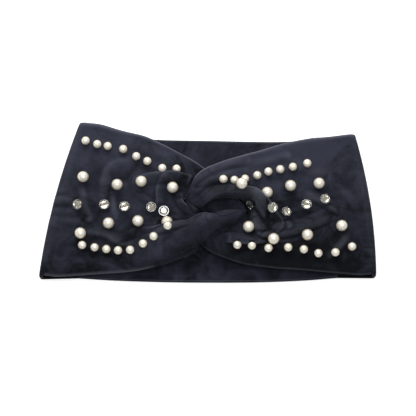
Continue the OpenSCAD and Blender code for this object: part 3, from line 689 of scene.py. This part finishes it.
class HeadbandColours(bpy.types.PropertyGroup):
    # The turned colour is reached through the pile's random tone and through the painted falloff and patches; the
    # edges colour is a painted highlight along folded edges and hems
    velvet_base: colour_setting("Velvet, head on", "Colour of the velvet looked straight into", "#080A10")
    velvet_turned: colour_setting("Velvet, turned", "Colour of the velvet where its pile leans", "#30323F")
    velvet_edge: colour_setting("Velvet, edges", "Colour where the pile opens along a fold or a hem", "#686B76")
    lining_base: colour_setting("Lining, head on", "Colour of the lining looked straight into", "#0D0E12")
    lining_turned: colour_setting("Lining, turned", "Colour of the lining where it is brushed up", "#1C1E25")
    pearl: colour_setting("Pearls", "Colour of the pearls seen head on", "#FAF4E6")
    # The rim colour is painted shade and reflection of the dark velvet towards the pearls' outlines
    pearl_rim: colour_setting("Pearl rims", "Colour of the pearls towards their outlines", "#A8946A")
    stone: colour_setting("Stones", "Colour of the cut stones", "#F8F6F0")
    silver: colour_setting("Silver", "Colour of the cups and pins", "#A9AAAC")
    thread: colour_setting("Thread", "Colour of the sewing thread", "#17181F")
    table: colour_setting("Table", "Colour of the light table", "#EBEBEB")


class HeadbandStage(bpy.types.PropertyGroup):
    tilt: FloatProperty(name="Camera tilt", description="Lean of the camera from straight above",
                        default=math.radians(15), min=0, max=math.radians(60), subtype="ANGLE")
    distance: FloatProperty(name="Camera distance", description="Camera to the middle of the band", default=1.3,
                            min=0.5, max=4, unit="LENGTH")
    width: FloatProperty(name="View width", description="Width of the view at the band", default=0.2912, min=0.1,
                         max=1, unit="LENGTH")
    key_power: FloatProperty(name="Key light", description="Power of the soft light above the upper edge, in watts",
                             default=4, min=0, max=200)
    top_power: FloatProperty(name="Top light", description="Power of the soft light overhead, in watts", default=5,
                             min=0, max=200)
    sky: FloatProperty(name="Room light", description="Strength of the even light of the room", default=0.38, min=0,
                       max=3)


# Operators

class HEADBAND_OT_straps(bpy.types.Operator):
    """Builds the two velvet straps with their folds and the knot"""
    bl_idname = "headband.straps"
    bl_label = "Velvet straps"

    def execute(self, context):
        cloth = context.scene.headband_cloth
        for left in (True, False):
            side = "left" if left else "right"
            front = strap_grid(left, cloth.rows, cloth.columns, cloth.wrinkle_depth)
            hem = cloth.hem_radius / MM
            rows = wrap_rows(front[0], 0.0, FOLD_BULGE, SIDE_ROWS, REAR_ROWS, hem)
            first = len(rows)
            grid = seat_cloth(np.concatenate([np.stack(rows), front]), left, first)
            upward = up_or_down(grid, first)
            body = with_hems(grid, grid_normals(grid) * upward, hem)
            t = np.linspace(0, 1, cloth.columns + 1)
            width = np.linalg.norm(grid[:, -1] - grid[:, 0], axis=1)
            near = np.minimum(t[None, :], 1 - t[None, :]) * width[:, None]
            # Painted highlight lines along the strap's long edges, weaker round the side fold and left out on part of
            # one edge
            mask = np.exp(-((near / 0.9) ** 2))
            half = len(t) // 2
            if left:
                mask[:, :half] *= ease((-30 - grid[:, :half, 0]) / 15)
            else:
                mask[:, half:] *= ease((grid[:, half:, 0] + 14) / 8)
            hems = (body.shape[1] - grid.shape[1]) // 2
            mask = np.pad(mask, ((0, 0), (hems, hems)), mode="edge")
            mask[:first] *= 0.25
            # Crests and hollows: painted highlight on the crests, painted shade in the hollows
            crest = openness(grid) * upward
            crest = np.pad(crest, ((0, 0), (hems, hems)), constant_values=0.0)
            # Painted shade within about 5 mm of the lower edge, stronger on the right strap; it also takes away
            # painted highlight there
            painted_low_shade = np.exp(-((t[None, :] * width[:, None] / 5) ** 2)) * (0.25 if left else 0.45)
            painted_low_shade = np.pad(painted_low_shade, ((0, 0), (hems, hems)), mode="edge")
            # The three attributes carry painted highlight, painted shade, and patches that are partly painted light
            # and shade
            obj = cloth_object(f"{side}_strap_velvet", body, VELVET * 0.8, left, material_called("velvet"),
                               masks=[("edge", np.clip(mask * 0.55 + crest * 0.8 - painted_low_shade, 0, 1)),
                                      ("crease", np.clip(painted_low_shade - crest * 0.9, 0, 0.8)),
                                      ("brushed", pile_and_painted_light(body, left))])
            if not left:
                cut_crossing(obj)
            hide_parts(f"{side}_face")
        return {"FINISHED"}


def up_or_down(grid, first_row):
    """1 if the grid's own normals face up on the front of the strap, or -1."""
    front = grid_normals(grid)[first_row + 5, 30, 2]
    return 1 if front > 0 else -1


def cut_crossing(obj):
    """Opens the right strap where the left one comes up through it."""
    bm = bmesh.new()
    bm.from_mesh(obj.data)
    gone = []
    for f in bm.faces:
        c = f.calc_center_median() / MM
        if c.z > LINING_TOP and inside(np.array([c.x]), np.array([c.y]), CROSSING)[0]:
            gone.append(f)
    bmesh.ops.delete(bm, geom=gone, context="FACES")
    bm.to_mesh(obj.data)
    bm.free()


class HEADBAND_OT_linings(bpy.types.Operator):
    """Builds the linings under the two straps"""
    bl_idname = "headband.linings"
    bl_label = "Linings"

    def execute(self, context):
        rows, columns = 60, 30
        for left in (True, False):
            side = "left" if left else "right"
            top, low = (LEFT_TOP, LEFT_LOW) if left else (RIGHT_TOP, RIGHT_LOW)
            shares = LEFT_LINING_SHARES if left else RIGHT_LINING_SHARES
            s = np.linspace(0, 1, rows + 1)
            up, down = along(top, s * shares[0]), along(low, s * shares[1])
            length = np.linalg.norm(up - down, axis=1, keepdims=True)
            inset = LINING_INSET * (up - down) / length
            up, down = up - inset, down + inset
            t = np.linspace(0, 1, columns + 1)
            plan = down[:, None, :] + (up - down)[:, None, :] * t[None, :, None]
            limit = KNOT_X - SEAM_GAP if left else KNOT_X + SEAM_GAP
            plan[..., 0] += (limit - plan[-1:, :, 0]) * s[:, None] ** 3
            front = np.concatenate([plan, np.full(plan.shape[:2] + (1,), LINING_TOP - 0.1)], axis=2)
            rows_back = wrap_rows(front[0], VELVET + 0.1, FOLD_BULGE - VELVET - 0.6, 14, 8)
            grid = np.concatenate([np.stack(rows_back), front])
            obj = cloth_object(f"{side}_strap_lining", grid, VELVET * 0.9, left, material_called("lining"),
                               masks=[("edge", np.zeros(grid.shape[:2]))])
            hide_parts(f"{side}_lining")
        return {"FINISHED"}


class HEADBAND_OT_back_panel(bpy.types.Operator):
    """Builds the velvet back panel and its lining"""
    bl_idname = "headband.back_panel"
    bl_label = "Back panel"

    def execute(self, context):
        rows, columns = 120, 60
        ends = []
        for side, top, low in ((-1, LEFT_TOP, LEFT_LOW), (1, RIGHT_TOP, RIGHT_LOW)):
            ends.append([np.array(edge[0]) + (-side * (RETURN_LENGTH + SEAM_GAP), rear_drop(side, t))
                         for edge, t in ((low, 0), (top, 1))])
        up = [tuple(ends[0][1])] + BACK_TOP_EDGE[1:-1] + [tuple(ends[1][1])]
        down = [tuple(ends[0][0])] + BACK_LOW_EDGE[1:-1] + [tuple(ends[1][0])]
        s = np.linspace(0, 1, rows + 1)
        t = np.linspace(0, 1, columns + 1)
        for name, level, node, lift, slot in (("back_panel_velvet", 0.0, "back_face", -1, "velvet"),
                                              ("back_panel_lining", BACK_TOP, "back_lining", 1, "lining")):
            top, low = along(up, s), along(down, s)
            across = (top - low) / np.linalg.norm(top - low, axis=1, keepdims=True)
            inset = 1.4 if lift < 0 else 0.1
            a, b = low + across * inset, top - across * inset
            plan = a[:, None, :] + (b - a)[:, None, :] * t[None, :, None]
            z = np.full(plan.shape[:2], level)
            if lift > 0:
                sag = np.array([[noise.noise(Vector((p[0] / 40, p[1] / 26, 2.5))) for p in row] for row in plan])
                z = z + 0.35 * sag * np.minimum(ease(t / 0.1), ease((1 - t) / 0.1))[None, :] - 0.25
            grid = np.concatenate([plan, z[..., None]], axis=2)
            if lift < 0:
                normals = np.zeros(grid.shape)
                normals[..., 2] = -1
                grid = with_hems(grid, normals, VELVET * 0.98, turn=176)
                # Painted highlight along the back panel's two hems
                mask = np.zeros(grid.shape[:2])
                mask[:, :8] = mask[:, -8:] = 0.25
                # Its patch attribute is a painted slant of light and shade, darker towards the top, taking back part
                # of the painted falloff
                obj = cloth_object(name, grid, VELVET * 0.7, False, material_called("velvet"),
                                   masks=[("edge", mask), ("brushed", -0.0016 * grid[..., 1])])
            else:
                # Its patch attribute is a painted slant of light and shade, darker towards the top, taking back part
                # of the painted falloff
                obj = cloth_object(name, grid, VELVET * 0.7, True, material_called("velvet"),
                                   masks=[("edge", np.zeros(grid.shape[:2])),
                                          ("brushed", -0.0028 * grid[..., 1])])
            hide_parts(node)
        return {"FINISHED"}


def solid_object(name, bm, material, smooth=True):
    """A mesh object from a bmesh in millimetres."""
    bmesh.ops.recalc_face_normals(bm, faces=bm.faces)
    mesh = bpy.data.meshes.new(name)
    bm.to_mesh(mesh)
    bm.free()
    mesh.transform(Matrix.Scale(MM, 4))
    if smooth:
        mesh.shade_smooth()
    mesh.materials.append(material)
    obj = bpy.data.objects.new(name, mesh)
    bpy.context.scene.collection.objects.link(obj)
    return obj


def add_pearl(bm, centre, radius, axis, hole=0.7):
    """A pearl turned round its drilled axis, with a small dimple at each end of the hole."""
    steps, turns = 22, 36
    turn = Vector((0, 0, 1)).rotation_difference(axis).to_matrix()
    rings = []
    for k in range(steps + 1):
        a = math.pi * k / steps
        r = radius * math.sin(a)
        h = radius * math.cos(a)
        sunk = math.exp(-((r / (hole * 0.8)) ** 2)) * 0.25
        h -= math.copysign(sunk, h)
        if k in (0, steps):
            rings.append([bm.verts.new(Vector(centre) + turn @ Vector((0, 0, h)))])
            continue
        rings.append([bm.verts.new(Vector(centre) + turn @ Vector((
            r * math.cos(math.tau * j / turns), r * math.sin(math.tau * j / turns), h))) for j in range(turns)])
    for upper, lower in zip(rings[:-1], rings[1:]):
        for j in range(turns):
            k = (j + 1) % turns
            if len(upper) == 1:
                bm.faces.new((upper[0], lower[j], lower[k]))
            elif len(lower) == 1:
                bm.faces.new((upper[j], lower[0], upper[k]))
            else:
                bm.faces.new((upper[j], lower[j], lower[k], upper[k]))


class HEADBAND_OT_pearls(bpy.types.Operator):
    """Builds the large and small pearls at their places on the straps"""
    bl_idname = "headband.pearls"
    bl_label = "Pearls"

    def execute(self, context):
        material = material_called("pearl")
        for node in sorted(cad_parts):
            if "small_pearls" not in node and "large_pearl" not in node:
                continue
            small = "small" in node
            radius = SMALL_RADIUS if small else LARGE_RADIUS
            bm = bmesh.new()
            for centre in centres_in(node):
                lean = Vector((0.25 * noise.noise(Vector((centre[0], 0.3, 0.1))),
                               0.25 * noise.noise(Vector((centre[1], 7.1, 0.4))), 1)).normalized()
                add_pearl(bm, centre, radius, lean)
            obj = solid_object(node.replace("pearl", "lacquered_pearl"), bm, material)
            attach(obj, "root")
            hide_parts(node)
        return {"FINISHED"}


def finish_node(obj, key):
    """Gives a piece that comes from the frame its material."""
    obj.data.materials.clear()
    obj.data.materials.append(material_called(key))


def round_edges(obj, name, width):
    """Takes the sharpness off the edges, by a width in millimetres."""
    bevel = obj.modifiers.new(name, "BEVEL")
    bevel.width = width * MM
    bevel.segments = 2
    bevel.limit_method = "ANGLE"


def stone_axis(node):
    """Direction of the table of a CAD stone: the way its largest flat facet faces."""
    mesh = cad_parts[node].data
    sums = {}
    for face in mesh.polygons:
        key = tuple(round(c, 2) for c in face.normal)
        sums[key] = sums.get(key, 0) + face.area
    best = max(sums, key=lambda key: sums[key] if key[2] > 0.3 else 0)
    return Vector(best).normalized()


def ring(bm, radius, height, count, offset):
    return [bm.verts.new((radius * math.cos(math.tau * (k + offset) / count),
                          radius * math.sin(math.tau * (k + offset) / count), height)) for k in range(count)]


class HEADBAND_OT_stones(bpy.types.Operator):
    """Builds the foiled crystal stones and gives their claw cups their finish"""
    bl_idname = "headband.stones"
    bl_label = "Set stones"

    def execute(self, context):
        crystal, foil = material_called("crystal"), material_called("foil")
        for node in sorted(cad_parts):
            if "_stone_" in node:
                self.build(node, crystal, foil)
            elif "_cup_" in node:
                self.dress(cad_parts[node])
        return {"FINISHED"}

    def build(self, node, crystal, foil):
        axis = stone_axis(node)
        points = np.array([v.co[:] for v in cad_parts[node].data.vertices]) / MM
        a = np.array(axis)
        heights = points @ a
        centre = points.mean(axis=0)
        centre = centre - a * (centre @ a)
        radius = np.max(np.linalg.norm((points - centre) - np.outer(heights, a), axis=1))
        top = heights.max()
        turn = Vector((0, 0, 1)).rotation_difference(axis).to_matrix().to_4x4()
        n = STONE_SIDES
        crown_high = radius * CROWN_SHARE
        base = top - crown_high - GIRDLE_HEIGHT
        bm = bmesh.new()
        rim_low = ring(bm, radius, 0.0, 2 * n, 0.0)
        rim = ring(bm, radius, GIRDLE_HEIGHT, 2 * n, 0.0)
        mid = ring(bm, radius * MIDDLE_RING, GIRDLE_HEIGHT + crown_high * MIDDLE_HEIGHT, n, 0.0)
        table = ring(bm, radius * TABLE_RING, GIRDLE_HEIGHT + crown_high, n, 0.5)
        bm.faces.new(table)
        bm.faces.new(rim_low[::-1])
        for k in range(2 * n):
            j = (k + 1) % (2 * n)
            bm.faces.new((rim_low[k], rim_low[j], rim[j], rim[k]))
        for k in range(n):
            j = (k + 1) % n
            east, between, west = rim[2 * k], rim[2 * k + 1], rim[(2 * k + 2) % (2 * n)]
            bm.faces.new((mid[k], east, between))
            bm.faces.new((mid[j], between, west))
            bm.faces.new((mid[k], between, mid[j], table[k]))
            bm.faces.new((table[k], mid[j], table[j]))
        move = Matrix.Translation(Vector(centre + a * base)) @ turn
        bm.transform(move)
        crown = solid_object(node + "_crown", bm, crystal, smooth=False)
        bm = bmesh.new()
        foil_rim = ring(bm, radius * FOIL_RIM, -FOIL_GAP, 2 * n, 0.0)
        foil_mid = ring(bm, radius * FOIL_RING, -FOIL_GAP - FOIL_DEPTH * 0.65, n, 0.5)
        tip = bm.verts.new((0, 0, -FOIL_GAP - FOIL_DEPTH))
        bm.faces.new(foil_rim)
        for k in range(n):
            j = (k + 1) % n
            east, between, west = foil_rim[2 * k], foil_rim[2 * k + 1], foil_rim[(2 * k + 2) % (2 * n)]
            bm.faces.new((foil_mid[k], between, east))
            bm.faces.new((foil_mid[k], west, between))
            bm.faces.new((foil_mid[k], foil_mid[j], west))
            bm.faces.new((foil_mid[k], tip, foil_mid[j]))
        bm.transform(move)
        back = solid_object(node + "_foil", bm, foil, smooth=False)
        for obj in (crown, back):
            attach(obj, "root")
        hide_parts(node)

    def dress(self, cup):
        finish_node(cup, "cup")
        round_edges(cup, "Tumbled edges", 0.08)


class HEADBAND_OT_pins(bpy.types.Operator):
    """Gives the pins that hold the pearls their finish"""
    bl_idname = "headband.pins"
    bl_label = "Pearl pins"

    def execute(self, context):
        for node, obj in sorted(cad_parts.items()):
            if not node.endswith("_pins"):
                continue
            finish_node(obj, "pin")
            round_edges(obj, "Upset edges", 0.06)
        return {"FINISHED"}


class HEADBAND_OT_stitches(bpy.types.Operator):
    """Gives the seam and knot stitches their spun thread"""
    bl_idname = "headband.stitches"
    bl_label = "Stitches"

    def execute(self, context):
        for node, obj in sorted(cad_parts.items()):
            if not node.endswith("_stitches"):
                continue
            finish_node(obj, "thread")
        return {"FINISHED"}


def aim(obj, target):
    obj.rotation_euler = (Vector(target) - obj.location).to_track_quat("-Z", "Y").to_euler()


def area_light(name, place, target, size, power, colour):
    data = bpy.data.lights.new(name, "AREA")
    data.shape = "RECTANGLE"
    data.size, data.size_y = size
    data.energy = power
    data.color = linear(colour)[:3]
    obj = bpy.data.objects.new(name, data)
    obj.location = place
    aim(obj, target)
    bpy.context.scene.collection.objects.link(obj)
    return obj


class HEADBAND_OT_stage(bpy.types.Operator):
    """Sets out the pale floor, the soft lights and the camera"""
    bl_idname = "headband.stage"
    bl_label = "Stage"

    def execute(self, context):
        scene = context.scene
        stage = scene.headband_stage
        mesh = bpy.data.meshes.new("Light table")
        mesh.from_pydata([(-3, -3, -0.0002), (3, -3, -0.0002), (3, 3, -0.0002), (-3, 3, -0.0002)], [], [(0, 1, 2, 3)])
        mesh.materials.append(material_called("table"))
        floor = bpy.data.objects.new("Light table", mesh)
        scene.collection.objects.link(floor)
        middle = Vector((0.00035, -0.0069, 0.010))
        key = area_light("Key light", (-0.08, 0.50, 0.50), middle, (0.8, 0.4), stage.key_power, "#FFFFFF")
        top = area_light("Top light", (0.1, -0.15, 1.35), middle, (0.6, 0.6), stage.top_power, "#FFFFFF")
        world = bpy.data.worlds.new("Room")
        world.use_nodes = True
        world.node_tree.nodes["Background"].inputs["Color"].default_value = linear("#FFFFFF")
        world.node_tree.nodes["Background"].inputs["Strength"].default_value = stage.sky
        scene.world = world
        scene.view_settings.view_transform = "Standard"
        data = bpy.data.cameras.new("Camera")
        data.sensor_width = 36
        data.lens = 36 * stage.distance / stage.width
        camera = bpy.data.objects.new("Camera", data)
        scene.collection.objects.link(camera)
        camera.location = middle + stage.distance * Vector((0, -math.sin(stage.tilt), math.cos(stage.tilt)))
        aim(camera, middle)
        scene.camera = camera
        return {"FINISHED"}


class HEADBAND_PT_panel(bpy.types.Panel):
    """Lists the steps that build the headband"""
    bl_label = "Headband"
    bl_idname = "HEADBAND_PT_panel"
    bl_space_type = "VIEW_3D"
    bl_region_type = "UI"
    bl_category = "Headband"

    def draw(self, context):
        scene = context.scene
        for group in (scene.headband_cloth, scene.headband_colours, scene.headband_stage):
            box = self.layout.box()
            for name in group.bl_rna.properties.keys():
                if name not in ("rna_type", "name"):
                    box.prop(group, name)
        for step in STEPS:
            self.layout.operator(step.bl_idname)


STEPS = (HEADBAND_OT_straps, HEADBAND_OT_linings, HEADBAND_OT_back_panel, HEADBAND_OT_pearls,
         HEADBAND_OT_stones, HEADBAND_OT_pins, HEADBAND_OT_stitches, HEADBAND_OT_stage)
CLASSES = (HeadbandCloth, HeadbandColours, HeadbandStage) + STEPS + (HEADBAND_PT_panel,)


def register():
    for made in CLASSES:
        bpy.utils.register_class(made)
    bpy.types.Scene.headband_cloth = PointerProperty(type=HeadbandCloth)
    bpy.types.Scene.headband_colours = PointerProperty(type=HeadbandColours)
    bpy.types.Scene.headband_stage = PointerProperty(type=HeadbandStage)


def unregister():
    del bpy.types.Scene.headband_stage
    del bpy.types.Scene.headband_colours
    del bpy.types.Scene.headband_cloth
    for made in reversed(CLASSES):
        bpy.utils.unregister_class(made)


def main():
    register()
    for step in STEPS:
        group, name = step.bl_idname.split(".")
        getattr(getattr(bpy.ops, group), name)()
    bpy.context.view_layer.update()


if __name__ == "__main__":
    main()
